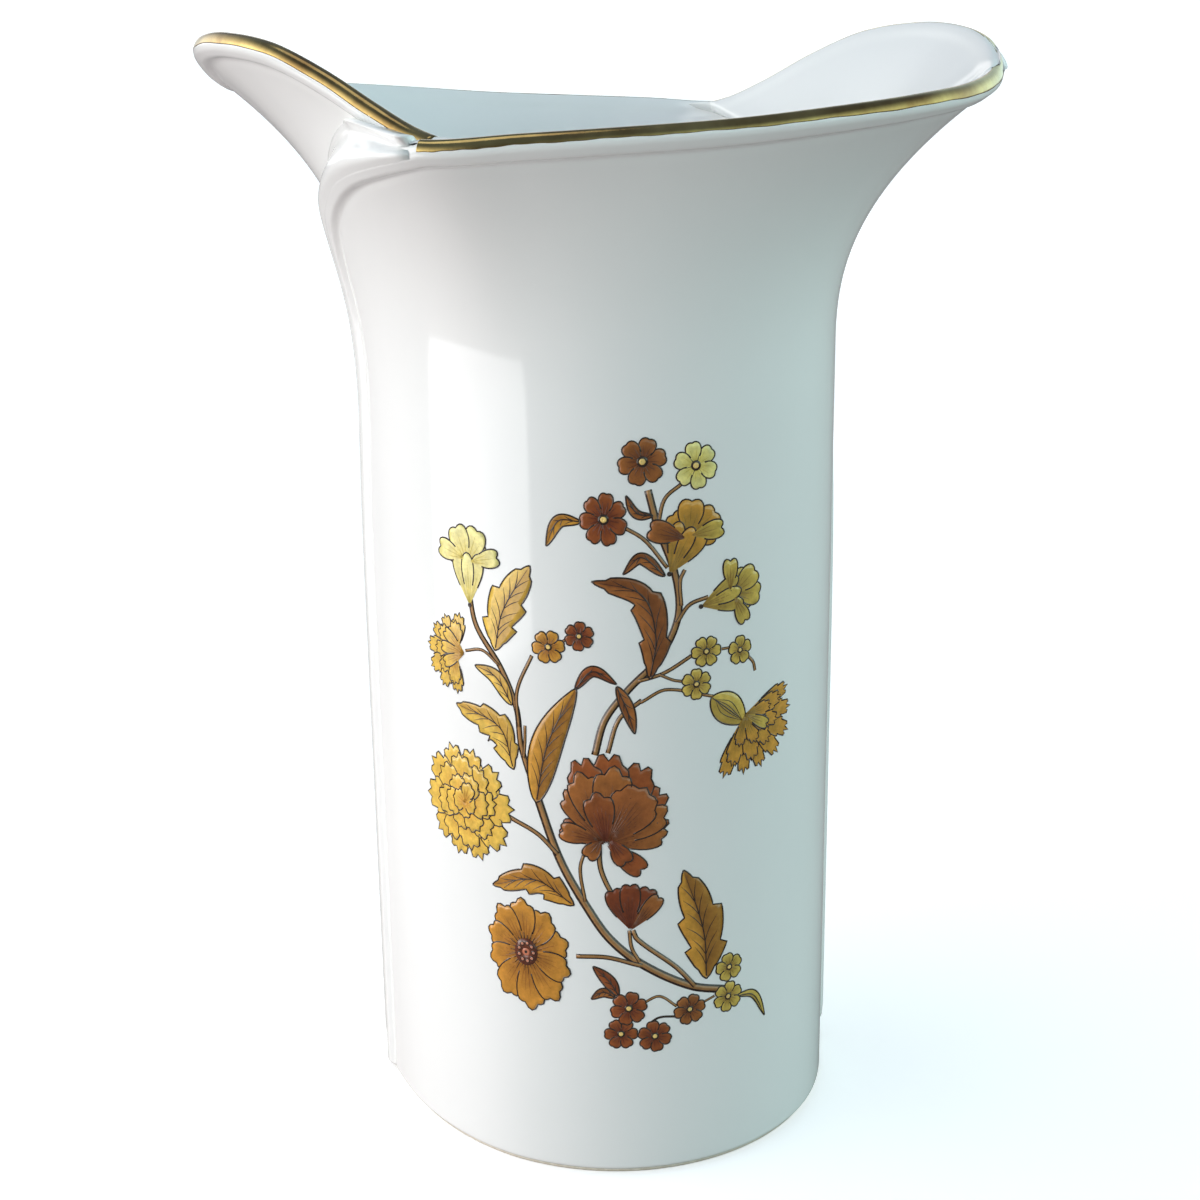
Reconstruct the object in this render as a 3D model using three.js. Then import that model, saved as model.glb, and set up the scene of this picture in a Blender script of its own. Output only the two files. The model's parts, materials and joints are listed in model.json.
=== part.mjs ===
// A porcelain vase made of two rolled leaves that overlap, each one the other turned half round
// the vertical axis. The tube is nearly round and straight for three quarters of its height, then
// flares into two tall lips, left and right. A thin gilt line follows the rim, and a printed spray
// of flowers lies on the front leaf. Millimetres, +Z up, the foot on z = 0, the front towards -Y.
import * as THREE from 'three';

const FOOT_HEIGHT = 1.5;
const GAP = 0.3;
const WALL = 3.2;
const LIP = 2.5;
const WALL_FOOT = FOOT_HEIGHT + GAP;
const FLOOR_TOP = 6;
const NOTCH_HEIGHT = 183.6;
const FLARE_POWER = 2.4;
const FLARE_START = { freeEdge: 131, side: 147 };
const FREE_EDGE = -176;
const HALF_TURN = 180;
const FILM = 0.4;
const CHART_RADIUS = 45;

// The front leaf in polar terms, with -90 degrees to the front and 0 to the right.
// The tube's radius at each angle, from the free edge round to the end that the other leaf covers.
const TUBE = [[-176, 44], [-163, 42.2], [-147, 41.7], [-130, 42.3], [-110, 43.9], [-85, 45.4],
  [-60, 45.6], [-36, 44.8], [-15, 43.5], [5, 42.6], [25, 41.4], [40, 41]];
// The rim: angle, radius and height. It is low across the front and highest behind the right lip.
// The first three rows only carry the flare on below the free edge, left of the notch.
const RIM = [[-176, 64, 190], [-150, 63.5, 188], [-130, 65, 185.4], [-114, 65.9, NOTCH_HEIGHT],
  [-100, 63.4, 184.6], [-85, 61.7, 185.5], [-70, 62.4, 186.3], [-55, 65.1, 187.5], [-40, 68.1, 188.7],
  [-25, 70.2, 190], [-12, 71, 192.3], [0, 70.4, 196.3], [10, 69, 198.3], [20, 66.6, 199],
  [32, 62.9, 197.6], [42, 59.7, 193.6], [52, 58.3, 188.6], [60, 59.5, 185.3], [66, 61.6, NOTCH_HEIGHT]];
// The free edge: height and angle. It stands upright, then sweeps forward to the notch in the rim.
const EDGE = [[0, FREE_EDGE], [60, FREE_EDGE], [110, -175.5], [137, -172.5], [153, -169.5],
  [163, -165.5], [170.5, -157], [175.5, -146], [180, -132], [NOTCH_HEIGHT, -114]];

// A smooth curve through a list of points: the value in the given column at x.
function through(points, x, column = 1) {
  const last = points.length - 1;
  if (x <= points[0][0]) return points[0][column];
  if (x >= points[last][0]) return points[last][column];
  let i = 0;
  while (points[i + 1][0] < x) i += 1;
  const slope = (k) => {
    const before = points[Math.max(0, k - 1)];
    const after = points[Math.min(last, k + 1)];
    return (after[column] - before[column]) / (after[0] - before[0]);
  };
  const width = points[i + 1][0] - points[i][0];
  const t = (x - points[i][0]) / width;
  const start = points[i][column] * (2 * t ** 3 - 3 * t ** 2 + 1);
  const end = points[i + 1][column] * (3 * t ** 2 - 2 * t ** 3);
  return start + end + width * (slope(i) * (t ** 3 - 2 * t ** 2 + t) + slope(i + 1) * (t ** 3 - t ** 2));
}

function flareShare(angle, height) {
  const round = THREE.MathUtils.clamp((angle - FREE_EDGE) / -FREE_EDGE, 0, 1);
  const start = THREE.MathUtils.lerp(FLARE_START.freeEdge, FLARE_START.side, round);
  return Math.max(0, (height - start) / (through(RIM, angle, 2) - start)) ** FLARE_POWER;
}

// The radius of the leaf's outer face at an angle and a height.
function outerRadius(angle, height) {
  const tube = through(TUBE, angle);
  return tube + (through(RIM, angle) - tube) * flareShare(angle, height);
}

function polar(radius, angle, height) {
  const turn = THREE.MathUtils.degToRad(angle);
  return new THREE.Vector3(radius * Math.cos(turn), radius * Math.sin(turn), height);
}

// A point on the leaf, moved off its outer face by `lift` square to the flare.
function leafPoint(angle, height, lift) {
  const step = 0.5;
  const lean = (outerRadius(angle, height + step) - outerRadius(angle, height - step)) / (2 * step);
  const tilt = Math.atan(lean);
  return polar(outerRadius(angle, height) + lift * Math.cos(tilt), angle, height - lift * Math.sin(tilt));
}

// The leaf's own grid: `across` runs from the free edge (0) to the covered end (1), and `up` from
// the foot (0) to the rim (1). The grid leans forward near the top, as the free edge does.
function leafPlace(across, up) {
  const lean = through(EDGE, WALL_FOOT + up * (NOTCH_HEIGHT - WALL_FOOT)) - FREE_EDGE;
  const topLean = EDGE[EDGE.length - 1][1] - FREE_EDGE;
  const share = 1 - 2 * across * (1 - across);
  const topAngle = FREE_EDGE + HALF_TURN * across + topLean * share;
  const angle = FREE_EDGE + HALF_TURN * across + lean * share;
  return { angle, height: WALL_FOOT + up * (through(RIM, topAngle, 2) - WALL_FOOT) };
}

// A closed body from its points and triangles, with its faces turned out.
function closedBody(points, triangles) {
  let volume = 0;
  for (const [a, b, c] of triangles) {
    volume += points[a].dot(points[b].clone().cross(points[c]));
  }
  const index = triangles.flatMap(([a, b, c]) => (volume > 0 ? [a, b, c] : [a, c, b]));
  const geometry = new THREE.BufferGeometry().setFromPoints(points);
  geometry.setIndex(index);
  geometry.computeVertexNormals();
  return geometry;
}

// A sheet with a thickness: two grids of points, face to face, joined round their border.
function sheet(columns, rows, outerAt, innerAt) {
  const points = [];
  for (const at of [outerAt, innerAt]) {
    for (let j = 0; j <= rows; j += 1) {
      for (let i = 0; i <= columns; i += 1) points.push(at(i, j));
    }
  }
  const layer = (columns + 1) * (rows + 1);
  const number = (i, j, side) => side * layer + j * (columns + 1) + i;
  const triangles = [];
  const quad = (a, b, c, d) => triangles.push([a, b, c], [a, c, d]);
  for (let j = 0; j < rows; j += 1) {
    for (let i = 0; i < columns; i += 1) {
      quad(number(i, j, 0), number(i + 1, j, 0), number(i + 1, j + 1, 0), number(i, j + 1, 0));
      quad(number(i, j, 1), number(i, j + 1, 1), number(i + 1, j + 1, 1), number(i + 1, j, 1));
    }
  }
  for (let i = 0; i < columns; i += 1) {
    quad(number(i, 0, 0), number(i, 0, 1), number(i + 1, 0, 1), number(i + 1, 0, 0));
    quad(number(i, rows, 0), number(i + 1, rows, 0), number(i + 1, rows, 1), number(i, rows, 1));
  }
  for (let j = 0; j < rows; j += 1) {
    quad(number(0, j, 0), number(0, j + 1, 0), number(0, j + 1, 1), number(0, j, 1));
    quad(number(columns, j, 0), number(columns, j, 1), number(columns, j + 1, 1), number(columns, j + 1, 0));
  }
  return closedBody(points, triangles);
}

// One leaf of the wall, 3.2 mm thick and thinner at the lip.
function leafWall() {
  const levels = [0, 0.3, 0.58, 0.71, 0.76, 0.8, 0.84, 0.87, 0.9, 0.925, 0.95, 0.97, 0.985, 1];
  const columns = 36;
  const reach = 1 - (GAP + 0.1) / (THREE.MathUtils.degToRad(HALF_TURN) * TUBE[0][1]);
  const place = (i, j) => leafPlace((i / columns) * reach, levels[j]);
  const thickness = (j) => THREE.MathUtils.lerp(WALL, LIP, Math.max(0, levels[j] - 0.9) / 0.1);
  return sheet(columns, levels.length - 1,
    (i, j) => leafPoint(place(i, j).angle, place(i, j).height, 0),
    (i, j) => leafPoint(place(i, j).angle, place(i, j).height, -thickness(j)));
}

// The gilt line, 2 mm wide and half a millimetre thick, just clear of the rim's narrow top face.
function rimGilding() {
  const columns = 44;
  const ends = { first: 0.012, last: 0.965 };
  const width = 2;
  const thickness = 0.5;
  const corner = (i, side, level) => {
    const { angle, height } = leafPlace(THREE.MathUtils.lerp(ends.first, ends.last, i / columns), 1);
    const outer = leafPoint(angle, height, 0);
    const inner = leafPoint(angle, height, -LIP);
    const across = outer.clone().sub(inner).normalize();
    const below = leafPoint(angle, height - 1, 0);
    const rise = outer.clone().sub(below).projectOnPlane(across).normalize();
    const middle = outer.add(inner).multiplyScalar(0.5);
    return middle.addScaledVector(across, (side - 0.5) * width)
      .addScaledVector(rise, GAP + (1 - level) * thickness);
  };
  return sheet(columns, 1, (i, j) => corner(i, j, 0), (i, j) => corner(i, j, 1));
}

// The outline of both tubes together, drawn in by `inset`, for the floor and the foot ring. It
// passes straight over the small step at each free edge.
function tubeOutline(inset) {
  const points = [];
  const step = 5;
  for (const leaf of [0, HALF_TURN]) {
    for (let angle = FREE_EDGE + step; angle < FREE_EDGE + HALF_TURN; angle += step) {
      const { x, y } = polar(through(TUBE, angle) - inset, angle + leaf, 0);
      points.push(new THREE.Vector2(x, y));
    }
  }
  return points;
}

function baseFloor() {
  const outline = new THREE.Shape(tubeOutline(WALL + GAP + 0.2));
  const depth = FLOOR_TOP - WALL_FOOT;
  return new THREE.ExtrudeGeometry(outline, { depth, bevelEnabled: false }).translate(0, 0, WALL_FOOT);
}

function footRing() {
  const outline = new THREE.Shape(tubeOutline(0.6));
  outline.holes.push(new THREE.Path(tubeOutline(WALL + 0.6)));
  return new THREE.ExtrudeGeometry(outline, { depth: FOOT_HEIGHT, bevelEnabled: false });
}

// The print is laid out on a flat chart: millimetres to the right of the front line, and up.
function chartPoint(right, up, lift) {
  const angle = -90 + THREE.MathUtils.radToDeg(right / CHART_RADIUS);
  return leafPoint(angle, up, lift);
}

// A bloom's film: an oval of the print that follows the wall.
function bloomFilm(right, up, halfWidth, halfHeight) {
  const rings = Math.max(halfWidth, halfHeight) > 5 ? 2 : 1;
  const sides = rings > 1 ? 16 : 10;
  const points = [];
  for (const lift of [GAP + FILM, GAP]) {
    points.push(chartPoint(right, up, lift));
    for (let ring = 1; ring <= rings; ring += 1) {
      for (let k = 0; k < sides; k += 1) {
        const turn = (2 * Math.PI * k) / sides;
        const spread = ring / rings;
        points.push(chartPoint(right + spread * halfWidth * Math.cos(turn),
          up + spread * halfHeight * Math.sin(turn), lift));
      }
    }
  }
  const layer = 1 + rings * sides;
  const number = (side, ring, k) => side * layer + 1 + (ring - 1) * sides + (k % sides);
  const triangles = [];
  for (let k = 0; k < sides; k += 1) {
    triangles.push([0, number(0, 1, k), number(0, 1, k + 1)]);
    triangles.push([layer, number(1, 1, k + 1), number(1, 1, k)]);
    for (let ring = 1; ring < rings; ring += 1) {
      const quad = [[ring, k], [ring + 1, k], [ring + 1, k + 1], [ring, k + 1]];
      const [a, b, c, d] = quad.map(([r, n]) => number(0, r, n));
      const [e, f, g, h] = quad.map(([r, n]) => number(1, r, n));
      triangles.push([a, b, c], [a, c, d], [e, g, f], [e, h, g]);
    }
    const [a, b] = [number(0, rings, k), number(0, rings, k + 1)];
    const [c, d] = [number(1, rings, k + 1), number(1, rings, k)];
    triangles.push([a, c, b], [a, d, c]);
  }
  return closedBody(points, triangles);
}

// A leaf's or a stem's film: a ribbon along a curve on the chart, as wide as `widthAt` says.
function ribbonFilm(places, widthAt) {
  const curve = new THREE.SplineCurve(places.map(([right, up]) => new THREE.Vector2(right, up)));
  const rows = Math.max(4, Math.round(curve.getLength() / 2.5));
  const at = (lift) => (i, j) => {
    const share = j / rows;
    const middle = curve.getPoint(share);
    const along = curve.getTangent(share);
    const offset = (i - 1) * widthAt(share);
    return chartPoint(middle.x + along.y * offset, middle.y - along.x * offset, lift);
  };
  return sheet(2, rows, at(GAP + FILM), at(GAP));
}

const glaze = { color: 0xf1f2ef, roughness: 0.08, metalness: 0 };
const biscuit = { color: 0xe9e5da, roughness: 0.7, metalness: 0 };
const gilt = { color: 0xb08b3e, roughness: 0.22, metalness: 1 };
const inks = {
  brown: { color: 0x7c3d1d, roughness: 0.3, metalness: 0.3 },
  gold: { color: 0xc08a34, roughness: 0.3, metalness: 0.3 },
  pale: { color: 0xd9c467, roughness: 0.3, metalness: 0.3 },
  line: { color: 0x4a3220, roughness: 0.35, metalness: 0.2 },
};

const vase = new THREE.Group();

function add(name, geometry, finish) {
  const mesh = new THREE.Mesh(geometry, new THREE.MeshStandardMaterial(finish));
  mesh.name = name;
  vase.add(mesh);
  return mesh;
}

add('front_leaf_wall', leafWall(), glaze);
add('back_leaf_wall', leafWall(), glaze).rotation.z = Math.PI;
add('base_floor', baseFloor(), glaze);
add('foot_ring', footRing(), biscuit);
add('front_rim_gilding', rimGilding(), gilt);
add('back_rim_gilding', rimGilding(), gilt).rotation.z = Math.PI;

// Blooms of the print: name, ink, right, up, half width, half height.
const blooms = [
  ['bloom_top_brown', 'brown', 6.9, 132.6, 3.6, 3.6],
  ['bloom_top_pale', 'pale', 15.9, 131.3, 3.3, 3.3],
  ['bloom_middle_brown', 'brown', 0.6, 123, 3.4, 3.4],
  ['trumpet_top', 'gold', 14.2, 119.2, 5.4, 4.6],
  ['trumpet_right', 'gold', 23.5, 108.6, 4.4, 4.9],
  ['trumpet_left', 'pale', -25.2, 114.5, 6.6, 4.9],
  ['carnation_left', 'gold', -32.6, 96, 5.4, 6.6],
  ['carnation_big', 'gold', -27, 69.6, 9.2, 11],
  ['carnation_right', 'gold', 29.6, 80.6, 7.8, 8.6],
  ['carnation_calyx', 'pale', 21.4, 89.6, 2.6, 2.6],
  ['peony', 'brown', 2, 72, 8.4, 9.2],
  ['cosmos', 'gold', -13.8, 42.2, 8.2, 9.6],
  ['bud_centre', 'brown', 5.1, 53.2, 3, 3.8],
  ['small_bloom_left', 'gold', -9.2, 100.6, 2.3, 2.3],
  ['small_bloom_centre', 'brown', -3.8, 102.7, 2.1, 2.1],
  ['small_bloom_right', 'gold', 17.9, 98.9, 2.2, 2.2],
  ['small_bloom_far', 'gold', 24.5, 98, 2, 2],
  ['cluster_bloom_1', 'brown', 3.9, 34, 2.1, 2.1],
  ['cluster_bloom_2', 'brown', 2.4, 28.6, 2.1, 2.1],
  ['cluster_bloom_3', 'brown', 8.4, 27.8, 2.1, 2.1],
  ['cluster_bloom_4', 'gold', 15, 32.2, 2.2, 2.2],
  ['cluster_bloom_5', 'gold', 22.8, 39, 2.1, 2.1],
];
for (const [name, ink, right, up, halfWidth, halfHeight] of blooms) {
  add(name, bloomFilm(right, up, halfWidth, halfHeight), inks[ink]);
}

// Leaves of the print: name, ink, half width, and the places that the midrib passes.
const leaves = [
  ['leaf_centre', 'brown', 2.8, [[8, 96], [6.5, 104], [-0.4, 111.4]]],
  ['leaf_left', 'gold', 2.2, [[-19, 100], [-16.5, 107], [-12.4, 113.6]]],
  ['leaf_low_left', 'gold', 2.2, [[-27.6, 86], [-22.5, 83.5], [-18, 78.6]]],
  ['leaf_long', 'brown', 1.5, [[-5.2, 92], [-7, 85], [-11, 77.2]]],
  ['leaf_arrow', 'brown', 2.4, [[-20.6, 54.8], [-14, 56.2], [-7.6, 55]]],
  ['leaf_right', 'gold', 3, [[18, 39.2], [16.8, 48], [14.2, 58]]],
];
for (const [name, ink, halfWidth, places] of leaves) {
  const taper = (share) => 0.3 + halfWidth * Math.sin(Math.PI * share);
  add(name, ribbonFilm(places, taper), inks[ink]);
}

const stems = [
  ['stem_main', [[20, 35], [11, 39.6], [4.4, 44.6], [-2.6, 52.6], [-7.8, 61.8], [-11.6, 73]]],
  ['stem_left', [[-14.2, 79.6], [-15.2, 85], [-16, 90.4], [-18, 95.4]]],
  ['stem_right', [[10.2, 98.4], [12, 102.4], [13.2, 107], [12.6, 112]]],
];
for (const [name, places] of stems) {
  add(name, ribbonFilm(places, () => 0.5), inks.line);
}

export default vase;
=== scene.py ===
"""The looks of a porcelain vase made of two rolled leaves, with a gilt rim and a printed spray.

Lengths inside the shape functions are millimetres, as in the CAD source, and each mesh is scaled to
metres when it is made. Angles are degrees round the vertical axis: -90 is the front, 0 the right.
"""
import json
import math

import bmesh
import bpy
import numpy as np
from mathutils import Matrix, Vector


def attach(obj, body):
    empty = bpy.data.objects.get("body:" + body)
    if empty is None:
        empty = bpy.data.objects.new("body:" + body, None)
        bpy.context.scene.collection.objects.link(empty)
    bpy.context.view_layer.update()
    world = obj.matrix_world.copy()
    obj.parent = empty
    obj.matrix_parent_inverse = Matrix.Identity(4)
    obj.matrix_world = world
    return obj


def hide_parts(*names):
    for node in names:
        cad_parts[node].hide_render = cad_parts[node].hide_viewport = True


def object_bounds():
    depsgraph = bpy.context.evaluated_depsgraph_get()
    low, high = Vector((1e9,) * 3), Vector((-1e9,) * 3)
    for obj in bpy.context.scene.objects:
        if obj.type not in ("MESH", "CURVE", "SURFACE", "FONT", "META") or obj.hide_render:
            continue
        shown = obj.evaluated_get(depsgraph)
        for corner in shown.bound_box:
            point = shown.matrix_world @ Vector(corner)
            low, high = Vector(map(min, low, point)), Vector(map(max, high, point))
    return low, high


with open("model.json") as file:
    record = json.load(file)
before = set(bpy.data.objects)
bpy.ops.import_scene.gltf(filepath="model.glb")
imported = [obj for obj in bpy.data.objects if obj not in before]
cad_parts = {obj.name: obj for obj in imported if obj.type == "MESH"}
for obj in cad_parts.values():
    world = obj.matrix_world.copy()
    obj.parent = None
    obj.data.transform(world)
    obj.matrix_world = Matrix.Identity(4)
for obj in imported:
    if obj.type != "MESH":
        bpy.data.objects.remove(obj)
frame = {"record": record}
cad_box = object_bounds()
CAD_SLOTS = {part["node"]: part["material_slot"] for part in frame["record"]["subparts"]}
MM = 0.001
NO_LENGTH = 1e-7  # metres: edges shorter than this count as degenerate

# ---------------- driving sizes, as in the CAD
WALL = 3.2
LIP = 2.5
WALL_FOOT = 1.8
SKIRT_FOOT = 0.6
FOOT_HEIGHT = 1.5
FLOOR_TOP = 6.0
NOTCH_HEIGHT = 183.6
FREE_EDGE = -176.0
HALF_TURN = 180.0
FLARE_POWER = 2.4
FLARE_START_EDGE = 131.0
FLARE_START_SIDE = 147.0
CHART_RADIUS = 45.0
BORDER_WIDTH = 3.7
BORDER_RELIEF = 0.62
TUBE = [(-176, 44), (-163, 42.2), (-147, 41.7), (-130, 42.3), (-110, 43.9), (-85, 45.4),
        (-60, 45.6), (-36, 44.8), (-15, 43.5), (5, 42.6), (25, 41.4), (40, 41)]
RIM = [(-176, 64, 190), (-150, 63.5, 188), (-130, 65, 185.4), (-114, 65.9, NOTCH_HEIGHT),
       (-100, 63.4, 184.6), (-85, 61.7, 185.5), (-70, 62.4, 186.3), (-55, 65.1, 187.5),
       (-40, 68.1, 188.7), (-25, 70.2, 190), (-12, 71, 192.3), (0, 70.4, 196.3), (10, 69, 198.3),
       (20, 66.6, 199), (32, 62.9, 197.6), (42, 59.7, 193.6), (52, 58.3, 188.6), (60, 59.5, 185.3),
       (66, 61.6, NOTCH_HEIGHT)]
EDGE = [(0, FREE_EDGE), (60, FREE_EDGE), (110, -175.5), (137, -172.5), (153, -169.5),
        (163, -165.5), (170.5, -157), (175.5, -146), (180, -132), (NOTCH_HEIGHT, -114)]


def smooth(low, high, value):
    """A soft step from 0 at `low` to 1 at `high`."""
    share = np.clip((value - low) / (high - low), 0.0, 1.0)
    return share * share * (3.0 - 2.0 * share)


def linear(*levels):
    """Linear colour values from the usual 0 to 255 ones."""
    shares = [level / 255.0 for level in levels]
    return tuple(s / 12.92 if s <= 0.04045 else ((s + 0.055) / 1.055) ** 2.4 for s in shares)


def new_object(name, data):
    thing = bpy.data.objects.new(name, data)
    bpy.context.scene.collection.objects.link(thing)
    return thing


# ---------------- camera, floor and light
def add_camera():
    distance = 358.4 * MM
    height = 202.9 * MM
    focal_length = 58.98
    pitch = 16.65
    roll = 0.69
    to_the_right = -0.2 * MM
    sensor_width = 36.0
    data = bpy.data.cameras.new("camera")
    data.lens = focal_length
    data.sensor_width = sensor_width
    camera = new_object("camera", data)
    tilt = Matrix.Rotation(math.radians(90.0 - pitch), 4, "X")
    turn = tilt @ Matrix.Rotation(math.radians(-roll), 4, "Z")
    camera.matrix_world = Matrix.Translation((to_the_right, -distance, height)) @ turn
    bpy.context.scene.camera = camera


def add_plain(name, colour, glow, depth):
    """A wide flat sheet under the vase, `depth` below its foot."""
    across = 400.0
    bpy.ops.mesh.primitive_plane_add(size=across, location=(0.0, 0.0, cad_box[0][2] - depth))
    sheet = bpy.context.object
    sheet.name = name
    material, shader = new_material(name, colour, 0.9)
    shader.inputs["Emission Color"].default_value = (1.0, 1.0, 1.0, 1.0)
    shader.inputs["Emission Strength"].default_value = glow
    sheet.data.materials.append(material)
    return sheet


def add_floor():
    """Two floors. The camera sees the white one, which glows a little and lights nothing. The duller
    one just below it, which the camera doesn't see, throws light back on the vase."""
    floor_glow = 0.42
    floor = add_plain("floor", (0.9, 0.9, 0.9), floor_glow, 0.0)
    floor.visible_diffuse = False
    floor.visible_glossy = False
    floor.visible_shadow = False
    table_depth = 0.2 * MM
    table = add_plain("table_below", (0.34, 0.27, 0.255), 0.0, table_depth)
    table.visible_camera = False


def add_panel(name, place, target, width, height, strength, colour):
    """A rectangular lamp that the camera doesn't see. Its energy is its strength over its area."""
    data = bpy.data.lights.new(name, "AREA")
    data.shape = "RECTANGLE"
    data.size = width
    data.size_y = height
    data.energy = strength * width * height * math.pi
    data.color = colour
    lamp = new_object(name, data)
    lamp.location = place
    aim = Vector(target) - Vector(place)
    lamp.rotation_euler = aim.to_track_quat("-Z", "Y").to_euler()
    lamp.visible_camera = False


def add_lights():
    """A soft sun overhead, and a low window at the left."""
    sky_strength = 0.3
    sky_softness = math.radians(30.0)
    window_place = (-0.285, -0.125, 0.062)
    window_target = (0.0, 0.0, 0.062)
    window_width = 0.31
    window_height = 0.12
    window_strength = 3.1
    data = bpy.data.lights.new("sky_above", "SUN")
    data.energy = sky_strength
    data.angle = sky_softness
    sky = new_object("sky_above", data)
    sky.rotation_euler = (math.radians(-5.0), math.radians(-12.0), 0.0)
    add_panel("window_left", window_place, window_target, window_width, window_height, window_strength,
              (1.0, 0.97, 0.97))


def mix_colour(tree, share, first, second):
    """A mix of two colours, each a plain colour or another node's output."""
    mix = tree.nodes.new("ShaderNodeMix")
    mix.data_type = "RGBA"
    for name, colour in (("A", first), ("B", second)):
        if isinstance(colour, tuple):
            mix.inputs[name].default_value = (*colour, 1.0)
        else:
            tree.links.new(colour, mix.inputs[name])
    tree.links.new(share, mix.inputs["Factor"])
    return mix.outputs["Result"]


def ramp_between(tree, value, low, high):
    """0 where the value is `low`, and 1 where it is `high`."""
    share = tree.nodes.new("ShaderNodeMapRange")
    share.inputs["From Min"].default_value = low
    share.inputs["From Max"].default_value = high
    tree.links.new(value, share.inputs["Value"])
    return share.outputs["Result"]


def add_world():
    """Bright at the left, greenish at the right, dark in front, dim and blue overhead, white far behind."""
    world = bpy.data.worlds.new("studio")
    world.use_nodes = True
    tree = world.node_tree
    place = tree.nodes.new("ShaderNodeTexCoord")
    split = tree.nodes.new("ShaderNodeSeparateXYZ")
    tree.links.new(place.outputs["Generated"], split.inputs[0])
    front_colour = (0.14, 0.15, 0.15)
    right_colour = (1.85, 2.5, 2.4)
    left_colour = (4.15, 4.2, 4.1)
    above_colour = (0.20, 0.26, 0.36)
    behind_colour = (1.1, 1.1, 1.1)
    right = ramp_between(tree, split.outputs["X"], -0.15, 0.9)
    left = ramp_between(tree, split.outputs["X"], -0.3, -1.0)
    above = ramp_between(tree, split.outputs["Z"], 0.25, 0.75)
    behind = ramp_between(tree, split.outputs["Y"], 0.90, 0.94)
    colour = mix_colour(tree, right, front_colour, right_colour)
    colour = mix_colour(tree, left, colour, left_colour)
    colour = mix_colour(tree, above, colour, above_colour)
    colour = mix_colour(tree, behind, colour, behind_colour)
    background = tree.nodes["Background"]
    tree.links.new(colour, background.inputs["Color"])
    background.inputs["Strength"].default_value = 1.0
    bpy.context.scene.world = world


# ---------------- materials
def new_material(name, colour, roughness, metallic=0.0, ior=1.5):
    material = bpy.data.materials.new(name)
    material.use_nodes = True
    shader = material.node_tree.nodes["Principled BSDF"]
    shader.inputs["Base Color"].default_value = (*colour, 1.0)
    shader.inputs["Roughness"].default_value = roughness
    shader.inputs["Metallic"].default_value = metallic
    shader.inputs["IOR"].default_value = ior
    return material, shader


def noise(material, scale, detail=3.0, rough=0.5):
    """Cloudy noise fixed to the object, with `scale` clouds to the metre."""
    nodes, links = material.node_tree.nodes, material.node_tree.links
    place = nodes.new("ShaderNodeTexCoord")
    texture = nodes.new("ShaderNodeTexNoise")
    texture.inputs["Scale"].default_value = scale
    texture.inputs["Detail"].default_value = detail
    texture.inputs["Roughness"].default_value = rough
    links.new(place.outputs["Object"], texture.inputs["Vector"])
    return texture.outputs["Fac"]


def spread(material, value, low, high):
    """Noise is mostly between 0.3 and 0.7: this stretches that span to `low` and `high`."""
    nodes, links = material.node_tree.nodes, material.node_tree.links
    reach = nodes.new("ShaderNodeMapRange")
    reach.inputs["From Min"].default_value = 0.3
    reach.inputs["From Max"].default_value = 0.7
    reach.inputs["To Min"].default_value = low
    reach.inputs["To Max"].default_value = high
    links.new(value, reach.inputs["Value"])
    return reach.outputs["Result"]


def add_bump(material, shader, value, strength, distance):
    nodes, links = material.node_tree.nodes, material.node_tree.links
    bump = nodes.new("ShaderNodeBump")
    bump.inputs["Strength"].default_value = strength
    bump.inputs["Distance"].default_value = distance
    links.new(value, bump.inputs["Height"])
    links.new(bump.outputs["Normal"], shader.inputs["Normal"])


def glaze_material():
    """Clear glaze on white porcelain: faint cloudiness, and the slow waviness of a fired glaze."""
    material, shader = new_material("white_glaze", (0.84, 0.845, 0.84), 0.09, ior=1.52)
    links = material.node_tree.links
    cloud = spread(material, noise(material, 22.0, 4.0), 0.0, 1.0)
    tone = mix_colour(material.node_tree, cloud, (0.83, 0.837, 0.83), (0.86, 0.862, 0.855))
    links.new(tone, shader.inputs["Base Color"])
    links.new(spread(material, noise(material, 60.0), 0.07, 0.12), shader.inputs["Roughness"])
    add_bump(material, shader, noise(material, 35.0, 2.0), 0.12, 0.0006)
    return material


def biscuit_material():
    """Unglazed porcelain: warm, matt and finely grained."""
    material, shader = new_material("bare_foot", linear(222, 214, 198), 0.75)
    links = material.node_tree.links
    grain = spread(material, noise(material, 900.0, 5.0), 0.0, 1.0)
    tone = mix_colour(material.node_tree, grain, linear(214, 205, 188), linear(232, 226, 212))
    links.new(tone, shader.inputs["Base Color"])
    add_bump(material, shader, noise(material, 1400.0, 4.0), 0.4, 0.0002)
    return material


def gilt_material():
    """Burnished gold: uneven gloss, and a thinner, browner tone where it has worn."""
    material, shader = new_material("gilt", linear(150, 118, 62), 0.22, metallic=1.0)
    links = material.node_tree.links
    wear = spread(material, noise(material, 45.0, 5.0, 0.65), 0.0, 1.0)
    tone = mix_colour(material.node_tree, wear, linear(184, 164, 106), linear(112, 84, 50))
    links.new(tone, shader.inputs["Base Color"])
    links.new(spread(material, noise(material, 160.0, 4.0), 0.10, 0.24), shader.inputs["Roughness"])
    add_bump(material, shader, noise(material, 420.0, 3.0), 0.15, 0.0002)
    return material


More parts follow.
